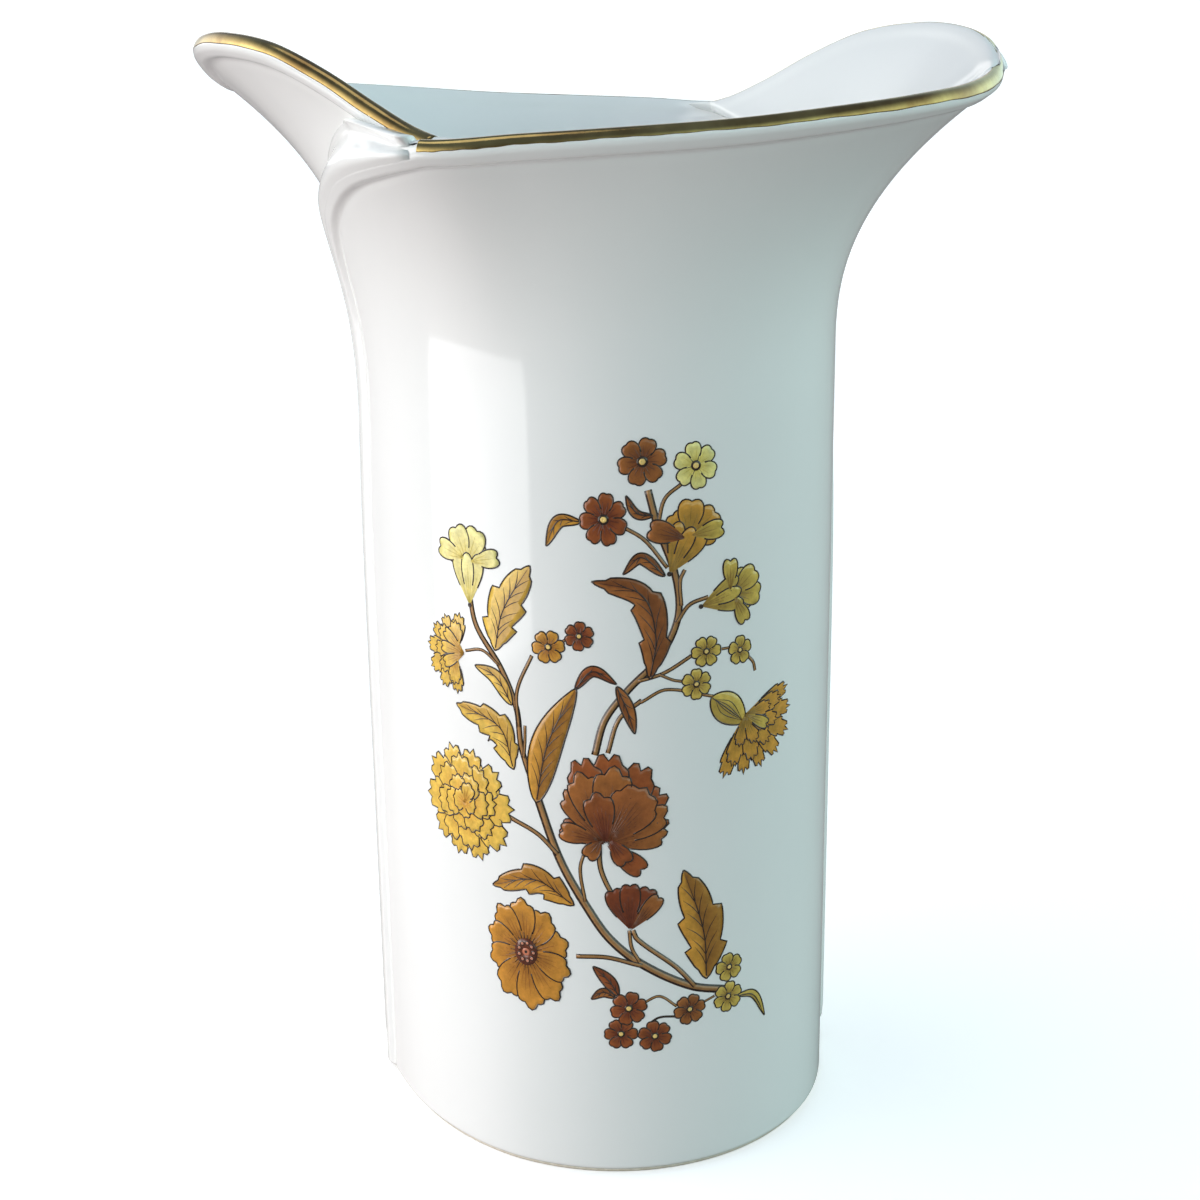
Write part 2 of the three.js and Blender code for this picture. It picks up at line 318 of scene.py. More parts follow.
def ink_material():
    """Fired enamel: the print's own colours from the mesh, mottled, under the same gloss as the glaze."""
    material, shader = new_material("enamel_ink", (0.3, 0.2, 0.1), 0.16)
    nodes, links = material.node_tree.nodes, material.node_tree.links
    colour = nodes.new("ShaderNodeAttribute")
    colour.attribute_name = "ink"
    mottle = spread(material, noise(material, 520.0, 5.0, 0.7), 0.72, 1.22)
    shade = nodes.new("ShaderNodeMix")
    shade.data_type = "RGBA"
    shade.blend_type = "MULTIPLY"
    shade.inputs["Factor"].default_value = 1.0
    links.new(colour.outputs["Color"], shade.inputs["A"])
    links.new(mottle, shade.inputs["B"])
    links.new(shade.outputs["Result"], shader.inputs["Base Color"])
    links.new(spread(material, noise(material, 240.0), 0.12, 0.26), shader.inputs["Roughness"])
    add_bump(material, shader, noise(material, 700.0, 3.0), 0.1, 0.0001)
    return material


# ---------------- the leaf's surface
def through(points, x, column=1):
    """A smooth curve through a list of points: the values in the given column at x."""
    table = np.array(points, float)
    place, value = table[:, 0], table[:, column]
    slope = np.gradient(value, place)
    slope[1:-1] = (value[2:] - value[:-2]) / (place[2:] - place[:-2])
    x = np.clip(x, place[0], place[-1])
    i = np.clip(np.searchsorted(place, x) - 1, 0, len(place) - 2)
    width = place[i + 1] - place[i]
    t = (x - place[i]) / width
    rise = (2 * t ** 3 - 3 * t ** 2 + 1) * value[i] + (3 * t ** 2 - 2 * t ** 3) * value[i + 1]
    return rise + width * (slope[i] * (t ** 3 - 2 * t ** 2 + t) + slope[i + 1] * (t ** 3 - t ** 2))


def skin(angle, height):
    """Points of the leaf's outer face, before its border is raised."""
    side = np.clip((angle - FREE_EDGE) / -FREE_EDGE, 0.0, 1.0)
    start = FLARE_START_EDGE + (FLARE_START_SIDE - FLARE_START_EDGE) * side
    share = np.maximum(0.0, (height - start) / (through(RIM, angle, 2) - start)) ** FLARE_POWER
    tube = through(TUBE, angle)
    radius = tube + (through(RIM, angle) - tube) * share
    turn = np.radians(angle)
    return np.stack([radius * np.cos(turn), radius * np.sin(turn), np.broadcast_to(height, radius.shape)], -1)


def unit(vectors):
    return vectors / np.linalg.norm(vectors, axis=-1, keepdims=True)


def outward(angle, height):
    """Unit vectors square to the leaf's outer face."""
    step = 0.4
    along = skin(angle + step, height) - skin(angle - step, height)
    rise = skin(angle, height + step) - skin(angle, height - step)
    return unit(np.cross(along, rise))


def leaf_place(across, up):
    """Angle and height on the leaf: across from the free edge (0), up from the foot (0) to the rim (1)."""
    lean = through(EDGE, WALL_FOOT + up * (NOTCH_HEIGHT - WALL_FOOT)) - FREE_EDGE
    top_lean = EDGE[-1][1] - FREE_EDGE
    share = 1 - 2 * np.clip(across, 0, 1) * (1 - np.clip(across, 0, 1))
    top_angle = FREE_EDGE + HALF_TURN * across + top_lean * share
    angle = FREE_EDGE + HALF_TURN * across + lean * share
    return angle, WALL_FOOT + up * (through(RIM, top_angle, 2) - WALL_FOOT)


def half_thickness(up):
    """Half the wall: it thins from WALL to LIP over its topmost tenth."""
    return 0.5 * (WALL + (LIP - WALL) * np.clip((up - 0.9) / 0.1, 0, 1))


def middle_of_wall(across, up):
    """Points half way through the wall, and the unit vectors square to it there."""
    angle, height = leaf_place(across, up)
    square = outward(angle, height)
    return skin(angle, height) - square * half_thickness(up)[..., None], square


def distance_to_line(points, line):
    """The shortest distance from each point to a line of short straight steps."""
    start, step = line[:-1], np.diff(line, axis=0)
    length2 = (step ** 2).sum(-1)
    result = np.empty(points.shape[:-1])
    for row in range(points.shape[0]):
        offset = points[row][:, None, :] - start
        share = np.clip((offset * step).sum(-1) / length2, 0, 1)
        result[row] = np.sqrt(((offset - share[..., None] * step) ** 2).sum(-1).min(1))
    return result


def rounded(distance, reach):
    """How far a rounded edge has opened out, from 0 at the edge to 1 at `reach` from it."""
    return np.sqrt(1 - (1 - np.clip(distance / reach, 0, 1)) ** 2)


def border_relief(distance):
    """The raised border along the free edge and the rim, with a soft groove beside it."""
    raised = BORDER_RELIEF * (1 - smooth(BORDER_WIDTH - 0.9, BORDER_WIDTH + 0.6, distance))
    groove = 0.16 * np.exp(-((distance - BORDER_WIDTH - 0.7) / 0.8) ** 2)
    return raised - groove


def quads_of_grid(rows, columns, start=0, flip=False, wrap=False):
    """Faces between neighbouring points of a grid that is numbered row by row from `start`."""
    faces = []
    last = columns if wrap else columns - 1
    for j in range(rows - 1):
        for i in range(last):
            a = start + j * columns + i
            b = start + j * columns + (i + 1) % columns
            face = (a, b, b + columns, a + columns)
            faces.append(face[::-1] if flip else face)
    return faces


def end_caps(rows, columns):
    """The two faces that close a tube made of rings: one over its first ring, one over its last."""
    return [tuple(range(columns))[::-1], tuple((rows - 1) * columns + i for i in range(columns))]


def make_object(name, points, faces, material, turn=0.0, merge=0.0):
    """A smooth mesh piece that rides on the vase's one body; points nearer than `merge` mm are joined."""
    mesh = bpy.data.meshes.new(name)
    points = np.asarray(points, float).reshape(-1, 3) * MM
    mesh.from_pydata(points.tolist(), [], faces)
    if merge:
        shell = bmesh.new()
        shell.from_mesh(mesh)
        bmesh.ops.remove_doubles(shell, verts=shell.verts, dist=merge * MM)
        bmesh.ops.dissolve_degenerate(shell, edges=shell.edges, dist=NO_LENGTH)
        bmesh.ops.recalc_face_normals(shell, faces=shell.faces)
        shell.to_mesh(mesh)
        shell.free()
    if turn:
        mesh.transform(Matrix.Rotation(math.radians(turn), 4, "Z"))
    mesh.polygons.foreach_set("use_smooth", [True] * len(mesh.polygons))
    mesh.materials.append(material)
    piece = new_object(name, mesh)
    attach(piece, "root")
    return piece


def leaf_levels():
    """Grid lines that crowd together towards the free edge, the rim, the foot and the covered end."""
    near_edge = 0.06 * (np.arange(28) / 28.0) ** 2
    field = np.linspace(0.06, 1.02, 132)
    covered = 1.02 + 0.012 * (1 - (1 - np.arange(1, 9) / 8.0) ** 2)
    across = np.concatenate([near_edge, field, covered])
    low = (SKIRT_FOOT - WALL_FOOT) / (NOTCH_HEIGHT - WALL_FOOT)
    near_foot = low + 0.012 * (np.arange(10) / 10.0) ** 2
    shaft = np.linspace(low + 0.012, 0.7, 26)
    flare = np.linspace(0.7, 0.955, 52)[1:]
    near_rim = 1 - 0.045 * (1 - np.arange(1, 31) / 30.0) ** 2
    return across, np.concatenate([near_foot, shaft, flare, near_rim])


def leaf_mesh():
    """The leaf as one closed shell: its outer face and its inner face meet at rounded edges."""
    across, up = leaf_levels()
    grid_across, grid_up = np.meshgrid(across, up)
    middle, square = middle_of_wall(grid_across, grid_up)
    free_edge = middle_of_wall(np.zeros(700), np.linspace(up[0], 1, 700))[0]
    rim = middle_of_wall(np.linspace(0, across[-1], 900), np.ones(900))[0]
    to_free = distance_to_line(middle, free_edge)
    to_rim = distance_to_line(middle, rim)
    to_border = np.minimum(to_free, to_rim)
    to_foot = middle[..., 2] - middle[0, 0, 2]
    to_end = distance_to_line(middle, middle[:, -1])
    half = half_thickness(grid_up)
    closing = rounded(to_border, 1.5) * rounded(to_foot, 0.9) * rounded(to_end, 1.2)
    upper = smooth(120, 165, middle[..., 2])
    backing = (0.5 + 1.9 * upper) * (1 - smooth(2.0, 9.0, to_free)) * smooth(1.0, 8.0, to_rim)
    inner_relief = 0.25 * (1 - smooth(2.6, 4.6, to_rim))
    outer = middle + square * ((half + border_relief(to_border)) * closing)[..., None]
    inner = middle - square * ((half + backing + inner_relief) * closing)[..., None]
    rows, columns = grid_up.shape
    faces = quads_of_grid(rows, columns) + quads_of_grid(rows, columns, rows * columns, flip=True)
    return np.concatenate([outer.reshape(-1, 3), inner.reshape(-1, 3)]), faces


def add_leaves(glaze):
    points, faces = leaf_mesh()
    front = make_object("front_leaf", points, faces, glaze, merge=0.002)
    back = make_object("back_leaf", points, faces, glaze, turn=HALF_TURN, merge=0.002)
    for piece, node in ((front, "front_leaf_wall"), (back, "back_leaf_wall")):
        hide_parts(node)


def raised_radius(angle, height, relief):
    """How far from the axis the leaf's outer face stands, once it is raised by `relief`."""
    across = outward(angle, height)[:, :2]
    return np.linalg.norm(skin(angle, height)[:, :2], axis=1) + relief / np.linalg.norm(across, axis=1)


def seam_outline():
    """The seam's top face and the underside that sinks into both leaves, as one closed loop."""
    up = np.concatenate([np.linspace(-0.006, 0.8, 60), np.linspace(0.8, 0.9985, 80)[1:]])
    angle, height = leaf_place(np.zeros_like(up), up)
    radius = raised_radius(angle, height, 0.0)
    run = unit(np.column_stack([radius * np.radians(np.gradient(angle)), np.gradient(height)]))
    start = 2.2  # how far the seam reaches back over its own leaf
    room = through(RIM, angle + HALF_TURN, 2) - height
    width = np.minimum(2.6 + 4.5 * smooth(120, 165, height), 1.8 + 0.6 * np.maximum(room, 0))
    risen = smooth(SKIRT_FOOT, 7.0, height)
    pinch = smooth(0.925, 0.985, up)
    top = []
    under = []
    for share in np.linspace(0, 1, 26):
        offset = -start + share * (start + width)
        turned = angle - np.degrees(run[:, 1] * offset / radius)
        level = height + run[:, 0] * offset
        to_rim = 0.85 * (through(RIM, turned + HALF_TURN, 2) - level)
        to_own_rim = np.maximum(0.6 * (through(RIM, turned, 2) - level), 0.0)
        dip = 1.4 * (1 - rounded(to_own_rim, 1.1))
        upper = raised_radius(turned, level, BORDER_RELIEF - 0.03 - dip)
        resting = border_relief(np.maximum(to_rim, 1.6)) - 0.04 + 1.9 * pinch
        lower = raised_radius(turned + HALF_TURN, level, resting)
        settled = 1 - (1 - smooth(0.0, 1.0, (offset + 0.4) / (width + 0.4))) * risen
        reach = upper + (lower - upper) * settled
        for stack, sink in ((top, 0.0), (under, 1.0 + 2.6 * pinch)):
            across = np.stack([np.cos(np.radians(turned)), np.sin(np.radians(turned))]) * (reach - sink)
            stack.append(np.column_stack([across[0], across[1], level]))
    return np.stack(top + under[::-1], 1)


def add_seam(glaze):
    """The soft glaze seam that runs from each leaf's border down to the leaf it lies on."""
    loop = seam_outline()
    rows, columns = loop.shape[:2]
    faces = quads_of_grid(rows, columns, wrap=True)
    faces += end_caps(rows, columns)
    for name, turn in (("front_seam", 0.0), ("back_seam", HALF_TURN)):
        piece = make_object(name, loop, faces, glaze, turn=turn, merge=1e-4)


# ---------------- floor and foot
def tube_outline(inset, count=180):
    """The outline of both tubes together, drawn in by `inset`, with the steps smoothed over."""
    turn = np.linspace(0, 360, count, endpoint=False) + FREE_EDGE
    local = FREE_EDGE + np.mod(turn - FREE_EDGE, HALF_TURN)
    bridge = smooth(0, 12, local - FREE_EDGE)
    radius = through(TUBE, local) * bridge + through(TUBE, local + HALF_TURN) * (1 - bridge)
    radius = radius - inset
    return np.stack([radius * np.cos(np.radians(turn)), radius * np.sin(np.radians(turn))], -1)


def revolve_outline(profile, name, material, closed_middle):
    """Sweeps a profile of (share of the outline or inset, height) round the tube's outline."""
    rings = []
    for scale, inset, height in profile:
        ring = tube_outline(inset) * scale
        rings.append(np.column_stack([ring, np.full(len(ring), height)]))
    rows, columns = len(rings), len(rings[0])
    faces = quads_of_grid(rows, columns, wrap=True)
    if closed_middle:
        faces += end_caps(rows, columns)
    else:
        for i in range(columns):
            follow = (i + 1) % columns
            top = (rows - 1) * columns
            faces.append((top + i, top + follow, follow, i))
    return make_object(name, np.concatenate(rings), faces, material, merge=1e-5)


def add_floor_disc(glaze):
    """The inside floor, with the hollow fillet that the slip leaves where it meets the wall."""
    fillet = 7.0
    wall_inset = WALL - 0.9
    profile = [(share, WALL + 0.4, 2.0 - 0.5 * share) for share in (0.02, 0.3, 0.6, 0.85, 0.95)]
    profile += [(1.0, WALL - 0.4, 2.2), (1.0, wall_inset, 4.0), (1.0, wall_inset, 11.0)]
    for step in range(9):
        lean = math.radians(90 * step / 8)
        inset = WALL - 0.2 + fillet * (1 - math.cos(lean))
        profile.append((1.0, inset, FLOOR_TOP + fillet * (1 - math.sin(lean))))
    profile += [(share, WALL + fillet, FLOOR_TOP - 0.4 * (1 - share)) for share in (0.9, 0.6, 0.3, 0.02)]
    piece = revolve_outline(profile, "inside_floor", glaze, closed_middle=True)
    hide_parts("base_floor")


def add_foot(biscuit):
    """The unglazed foot: a rounded ring that the vase stands on."""
    middle_inset = 1.9
    half_width = 1.15
    half_height = 0.9
    steps = 20
    profile = []
    for step in range(steps):
        lean = 2 * math.pi * step / steps
        rise = max(-FOOT_HEIGHT / 2, half_height * math.sin(lean) * 1.4)
        height = FOOT_HEIGHT / 2 + min(rise, half_height)
        profile.append((1.0, middle_inset - half_width * math.cos(lean), height))
    piece = revolve_outline(profile, "foot_ring_bare", biscuit, closed_middle=False)
    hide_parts("foot_ring")


# ---------------- gilding
def band_on_rim():
    """The gilt band: it wraps over the rim's rounded edge, further down outside than inside."""
    across = np.concatenate([np.linspace(0.0006, 0.03, 30), np.linspace(0.03, 0.998, 330)[1:]])
    angle, height = leaf_place(across, np.ones_like(across))
    edge, square = middle_of_wall(across, np.ones_like(across))
    along = unit(np.gradient(edge, axis=0))
    inward = unit(np.cross(along, square))
    inward *= np.where(inward[:, 2:] > 0, -1, 1)
    step = 0.4
    by_angle = (skin(angle + step, height) - skin(angle - step, height)) / (2 * step)
    by_height = (skin(angle, height + step) - skin(angle, height - step)) / (2 * step)
    metric = np.stack([by_angle, by_height], -1)
    ragged = 0.10 * np.sin(across * 61.0) + 0.07 * np.sin(across * 173.0 + 1.0)
    outer_reach = 0.36 + 0.3 * ragged
    inner_reach = 0.70 + 0.3 * ragged
    lift = 0.05
    sunk = -0.12
    crown = 0.3
    half = 0.5 * LIP
    loop = []
    shares = np.linspace(0, 1, 10) ** 2

    def section(reach, side, off):
        """One long line of the band: `reach` below the rim, on one side, `off` the glaze."""
        ways = np.array([np.linalg.lstsq(m, v, rcond=None)[0] for m, v in zip(metric, inward)])
        place_angle = angle + ways[:, 0] * reach
        place_height = height + ways[:, 1] * reach
        normal = outward(place_angle, place_height)
        core = skin(place_angle, place_height) - normal * half
        opened = rounded(reach, 1.5)
        relief = border_relief(reach) if side > 0 else 0.25
        tip = np.where(reach < crown, 1 - reach / crown, 0)[:, None] * -unit(inward) * off
        stand = (half + relief) * opened + off * np.sqrt(np.clip(opened, 0, 1))
        return core + side * normal * stand[:, None] + tip

    for share in shares[::-1]:
        loop.append(section(outer_reach * share, 1, lift))
    for share in shares[1:]:
        loop.append(section(inner_reach * share, -1, lift))
    for share in shares[1:][::-1]:
        loop.append(section(inner_reach * share, -1, sunk))
    for share in shares:
        loop.append(section(outer_reach * share, 1, sunk))
    return np.stack(loop, 1)


def add_gilding(gilt):
    band = band_on_rim()
    rows, columns = band.shape[:2]
    faces = quads_of_grid(rows, columns, wrap=True)
    faces += end_caps(rows, columns)
    for name, node, turn in (("front_rim_gold", "front_rim_gilding", 0.0),
                             ("back_rim_gold", "back_rim_gilding", HALF_TURN)):
        piece = make_object(name, band, faces, gilt, turn=turn, merge=1e-4)
        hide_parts(node)


# ---------------- the printed spray
# The print is laid out on a flat chart: millimetres to the right of the front line, and up. Each
# motif is a stack of very thin closed films that follow the wall, drawn from its back to its front.
FILM_LIFT = 0.02
FILM_STEP = 0.0034
FILM_SUNK = -0.06
LINE_DARK = linear(47, 33, 24)
BROWN = (linear(98, 52, 24), linear(160, 98, 46))
RUST = (linear(96, 42, 20), linear(152, 82, 38))
OCHRE = (linear(146, 92, 34), linear(208, 150, 58))
GOLD = (linear(178, 128, 44), linear(230, 190, 84))
PALE = (linear(206, 186, 92), linear(240, 230, 150))
OLIVE = (linear(146, 114, 48), linear(214, 184, 88))


def chart_to_wall(right, up, lift):
    """Points on the front leaf, above its outer face by `lift`."""
    angle = -90 + np.degrees(np.asarray(right, float) / CHART_RADIUS)
    height = np.asarray(up, float)
    return skin(angle, height) + outward(angle, height) * lift


def new_motif():
    """An empty motif. `lift` is how far its next film stands off the wall, and grows with each film."""
    return {"points": [], "faces": [], "smooth": [], "ink": [], "count": 0, "lift": FILM_LIFT}


def lay_film(motif, grid, ink, wrap=False, rise=1.0):
    """Adds one closed film: a grid of chart places (rows, columns, 2) with a colour at each."""
    rows, columns = grid.shape[:2]
    ink = np.broadcast_to(ink, (rows, columns, 3))
    first = grid[1:, 1:] - grid[:-1, :-1]
    second = grid[1:, :-1] - grid[:-1, 1:]
    turned = (first[..., 0] * second[..., 1] - first[..., 1] * second[..., 0]).sum() < 0
    motif["lift"] += FILM_STEP * rise
    for lift in (motif["lift"], FILM_SUNK):
        motif["points"].append(chart_to_wall(grid[..., 0], grid[..., 1], lift).reshape(-1, 3))
        motif["ink"].append(ink.reshape(-1, 3))
    start = motif["count"]
    layer = rows * columns
    faces = quads_of_grid(rows, columns, start, wrap=wrap)
    faces += quads_of_grid(rows, columns, start + layer, flip=True, wrap=wrap)
    border = []
    last = start + (rows - 1) * columns
    loops = [list(range(start, start + columns)), list(range(last, last + columns))[::-1]]
    if wrap:
        loops = [loop + loop[:1] for loop in loops]
    else:
        loops.append([start + j * columns for j in range(rows)][::-1])
        loops.append([start + j * columns + columns - 1 for j in range(rows)])
    for loop in loops:
        for a, b in zip(loop[:-1], loop[1:]):
            border.append((b, a, a + layer, b + layer))
    motif["smooth"] += [True] * len(faces) + [False] * len(border)
    faces += border
    motif["faces"] += [face[::-1] for face in faces] if turned else faces
    motif["count"] += 2 * layer


def curve_through(places, count):
    """Evenly spread points on a smooth curve through a few places."""
    places = np.array(places, float)
    if len(places) == 2:
        return places[0] + (places[1] - places[0]) * np.linspace(0, 1, count)[:, None]
    reach = np.concatenate([[0], np.cumsum(np.linalg.norm(np.diff(places, axis=0), axis=1))])
    table = np.column_stack([reach, places])
    fine = np.linspace(0, reach[-1], count)
    return np.column_stack([through(table, fine, 1), through(table, fine, 2)])


def sideways(curve):
    """Unit vectors to the left of a curve on the chart."""
    along = np.gradient(curve, axis=0)
    along /= np.maximum(np.linalg.norm(along, axis=1, keepdims=True), 1e-9)
    return np.column_stack([-along[:, 1], along[:, 0]])


def lay_line(motif, curve, width, ink, taper=(1.0, 1.0), rise=0.5):
    """A drawn line: a narrow ribbon, as wide at its ends as `taper` says."""
    curve = np.asarray(curve, float)
    share = np.linspace(0, 1, len(curve))
    half = 0.5 * width * (taper[0] + (1 - taper[0]) * smooth(0, 0.3, share))
    half = half * (taper[1] + (1 - taper[1]) * smooth(0, 0.4, 1 - share))
    side = sideways(curve) * half[:, None]
    lay_film(motif, np.stack([curve - side, curve + side], 1), ink, rise=rise)


def lay_spot(motif, centre, radius, ink, squash=1.0, rise=1.0):
    """A filled round dot."""
    turn = np.linspace(0, 2 * math.pi, 14, endpoint=False)
    ring = np.stack([np.cos(turn), squash * np.sin(turn)], -1) * radius
    grid = np.array(centre) + np.stack([ring * 0.03, ring * 0.6, ring])
    lay_film(motif, grid, ink, wrap=True, rise=rise)


def squeezed(places, lean, flat):
    """Chart places pressed towards the line square to `lean`, to `flat` of their distance from it."""
    axis = np.array([math.cos(math.radians(lean)), math.sin(math.radians(lean))])
    return places - np.asarray(places @ axis)[..., None] * axis * (1 - flat)


def blend(first, second, share):
    """A colour between two, for each share."""
    share = np.asarray(share, float)[..., None]
    return np.array(first) * (1 - share) + np.array(second) * share


def lay_petal(motif, base, aim, length, spread, inks, lobes=3, ruffle=0.06, veins=3, flat=1.0,
              lean=0.0, line=0.26, bright=0.5):
    """A petal that fans out from its base: an outline in polar form, streaked and outlined.

    flat squeezes the petal along one direction, given by `lean`, as for a bloom seen from its side.
    """
    columns = 21
    rows = int(np.clip(math.ceil(length), 6, 15))
    start = 0.06
    way = np.sin(np.linspace(-0.5, 0.5, columns) * math.pi)
    swell = np.abs(np.cos(0.5 * math.pi * way * 0.985)) ** 0.24
    scallop = np.abs(np.sin(0.5 * math.pi * lobes * (way + 1)))
    wave = 1 + ruffle * (2.2 * scallop - 1.6) * (1 - way ** 6)
    reach = length * swell * wave
    turn = np.radians(aim + way * spread)
    rim = np.stack([reach * np.cos(turn), reach * np.sin(turn)], -1)
    shares = np.linspace(start, 1, rows)
    grid = rim[None] * shares[:, None, None]
    streak = 0.5 + 0.5 * np.cos(way * 23.0 + aim)
    outer = shares[:, None]
    tone = np.clip(outer ** 1.2 * (0.55 + bright) - 0.22 * streak[None] * (1 - outer), 0, 1)
    lay_film(motif, np.array(base) + squeezed(grid, lean, flat), blend(inks[0], inks[1], tone))
    for vein in range(veins):
        off = (vein + 0.5) / veins * 2 - 1
        bend = np.radians(aim + off * spread * 0.74)
        far = length * (0.78 - 0.22 * abs(off))
        path = np.linspace(0.14, 1, 6)[:, None] * far * np.array([math.cos(bend), math.sin(bend)])
        path = np.array(base) + squeezed(path, lean, flat)
        lay_line(motif, path, line * 0.62, inks[0], taper=(0.8, 0.15), rise=0.2)
    lay_line(motif, np.array(base) + squeezed(rim, lean, flat), line, LINE_DARK, rise=0.2)


def lay_leaf(motif, places, half_width, inks, teeth=0, veins=5, one_side=1.0):
    """A leaf along its midrib: toothed edges, one half darker, with a midrib and side veins."""
    rows = 34
    columns = 7
    depth = 0.22
    line = 0.28
    middle = curve_through(places, rows)
    side = sideways(middle)
    share = np.linspace(0, 1, rows)
    swell = np.sin(math.pi * share ** 0.85) ** 0.75
    if teeth:
        saw = np.mod(share * (teeth + 0.35), 1.0)
        swell = swell * (1 - depth + 2 * depth * saw * (share > 0.12))
    halves = np.stack([swell * half_width, swell * half_width * one_side], 1)
    across = np.linspace(-1, 1, columns)
    width = np.where(across[None] < 0, halves[:, 1:], halves[:, :1]) * across[None]
    grid = middle[:, None] + side[:, None] * width[..., None]
    tone = np.clip(0.25 + 0.5 * (across[None] > 0) + 0.3 * np.abs(across[None]), 0, 1)
    lay_film(motif, grid, blend(inks[0], inks[1], tone))
    for vein in range(veins):
        root = int(rows * (0.12 + 0.68 * vein / veins))
        tip = min(rows - 2, root + 6)
        for way in (-1, 1):
            reach = halves[tip, 0 if way > 0 else 1] * 0.74
            end = middle[tip] + side[tip] * way * reach
            bend = 0.5 * (middle[root] + end) - side[root] * way * 0.12 * reach
            path = curve_through([middle[root], bend, end], 7)
            lay_line(motif, path, line * 0.55, LINE_DARK, taper=(0.9, 0.2), rise=0.3)
    lay_line(motif, middle[1:-2], line * 0.8, LINE_DARK, taper=(1, 0.3), rise=0.3)
    for column in (0, -1):
        lay_line(motif, grid[:, column], line, LINE_DARK, rise=0.2)


def lay_stem(motif, places, width):
    """A stem: a dark line with a paler core, so that it reads as two drawn edges."""
    step = 0.7
    thinnest_with_core = 0.45
    length = np.linalg.norm(np.diff(np.array(places, float), axis=0), axis=1).sum()
    path = curve_through(places, max(12, int(length / step)))
    lay_line(motif, path, width, LINE_DARK)
    if width > thinnest_with_core:
        lay_line(motif, path, width * 0.5, linear(158, 116, 70))


def lay_small_bloom(motif, centre, radius, inks, petals, turn, squash):
    """A flat open bloom with rounded petals, a dark throat and a light eye."""
    for k in range(petals):
        aim = turn + 360.0 * k / petals
        lay_petal(motif, centre, aim, radius, 208.0 / petals, inks, lobes=2, ruffle=0.035, veins=2,
                  flat=squash, lean=90.0, line=0.24)
    for k in range(petals):
        aim = math.radians(turn + 360.0 * (k + 0.5) / petals)
        way = np.array([math.cos(aim), math.sin(aim) * squash])
        tip = np.array(centre) + way * radius * 0.52
        throat = np.array(centre) + way * 0.2
        lay_line(motif, [throat, tip], 0.2, LINE_DARK, taper=(1, 0.2), rise=0.1)
    lay_spot(motif, centre, radius * 0.23, LINE_DARK, rise=0.5)
    lay_spot(motif, centre, radius * 0.13, linear(236, 200, 120), rise=0.5)


def lay_trumpet(motif, throat, aim, size, inks):
    """A trumpet bloom from the side: back petals, a long bell and a turned-out lip in front."""
    out = np.array([math.cos(math.radians(aim)), math.sin(math.radians(aim))])
    for off, length in ((-62, 0.78), (62, 0.78), (-24, 1.0), (22, 1.0)):
        lay_petal(motif, throat, aim + off, size * length, 34, inks, lobes=2, ruffle=0.05, veins=3)
    foot = np.array(throat) - out * size * 1.05
    lay_petal(motif, foot, aim - 17, size * 1.35, 15, inks, lobes=1, ruffle=0.03, veins=2, bright=0.2)
    lay_petal(motif, foot, aim + 17, size * 1.35, 15, inks, lobes=1, ruffle=0.03, veins=2, bright=0.2)
    lay_petal(motif, foot, aim, size * 1.3, 15, inks, lobes=1, ruffle=0.03, veins=3)
    lay_spot(motif, tuple(foot), 0.42, LINE_DARK, rise=0.5)


def lay_carnation(motif, heart, aim, size, inks, tall=1.0, fan=170, rings=3, whole=False):
    """A ruffled bloom: rings of broad toothed petals, the nearer rings shorter."""
    for ring in range(rings):
        length = size * (1 - 0.24 * ring)
        count = max(4, (10 if whole else 7) - 2 * ring)
        reach = 360.0 if whole else fan * (1 - 0.08 * ring)
        for k in range(count):
            share = k / count if whole else k / (count - 1)
            off = reach * (share - 0.5) + (14.0 * ring if whole else 0)
            sway = 1 + 0.06 * math.sin(5.0 * k + 2.0 * ring)
            lay_petal(motif, heart, aim + off, length * sway, reach / count * 0.78, inks, lobes=5,
                      ruffle=0.075, veins=4, flat=tall, lean=0.0 if whole else aim + 90,
                      bright=0.45 + 0.1 * (k % 2))


def round_bloom(centre, radius, inks, petals, turn, squash=1.0):
    """A function that draws one small open bloom."""
    def draw(motif):
        lay_small_bloom(motif, centre, radius, inks, petals, turn, squash)

    return draw


def draw_trumpet_top(motif):
    lay_trumpet(motif, (14.6, 119.4), 62, 6.6, (OLIVE[0], OCHRE[1]))
    lay_petal(motif, (14.2, 119.2), 162, 6.8, 28, BROWN, lobes=2, veins=4)
    lay_petal(motif, (15.0, 119.6), 8, 6.2, 26, OLIVE, lobes=2, veins=3)


def draw_trumpet_right(motif):
    lay_trumpet(motif, (23.0, 108.6), 14, 6.0, OLIVE)
    lay_petal(motif, (22.4, 109.0), 90, 5.8, 24, OLIVE, lobes=2, veins=3)
    lay_petal(motif, (23.2, 108.0), -64, 5.6, 24, OLIVE, lobes=2, veins=3)


def draw_trumpet_left(motif):
    lay_trumpet(motif, (-25.0, 113.4), 92, 7.0, PALE)
    lay_petal(motif, (-25.6, 114.2), 168, 6.8, 26, PALE, lobes=2, veins=3)
    lay_petal(motif, (-24.4, 113.8), 14, 6.6, 24, PALE, lobes=2, veins=3)


def draw_carnation_left(motif):
    lay_carnation(motif, (-28.6, 96.6), 176, 7.4, GOLD, fan=190, rings=2)
    for off in (-30, 0, 30):
        lay_petal(motif, (-26.4, 97.0), 176 + off, 6.2, 17, GOLD, lobes=2, veins=3)


def draw_carnation_big(motif):
    lay_carnation(motif, (-27.4, 69.2), 40, 11.0, (OCHRE[1], GOLD[1]), tall=0.92, rings=4, whole=True)
    lay_petal(motif, (-27.4, 69.2), 70, 4.0, 40, GOLD, lobes=3)


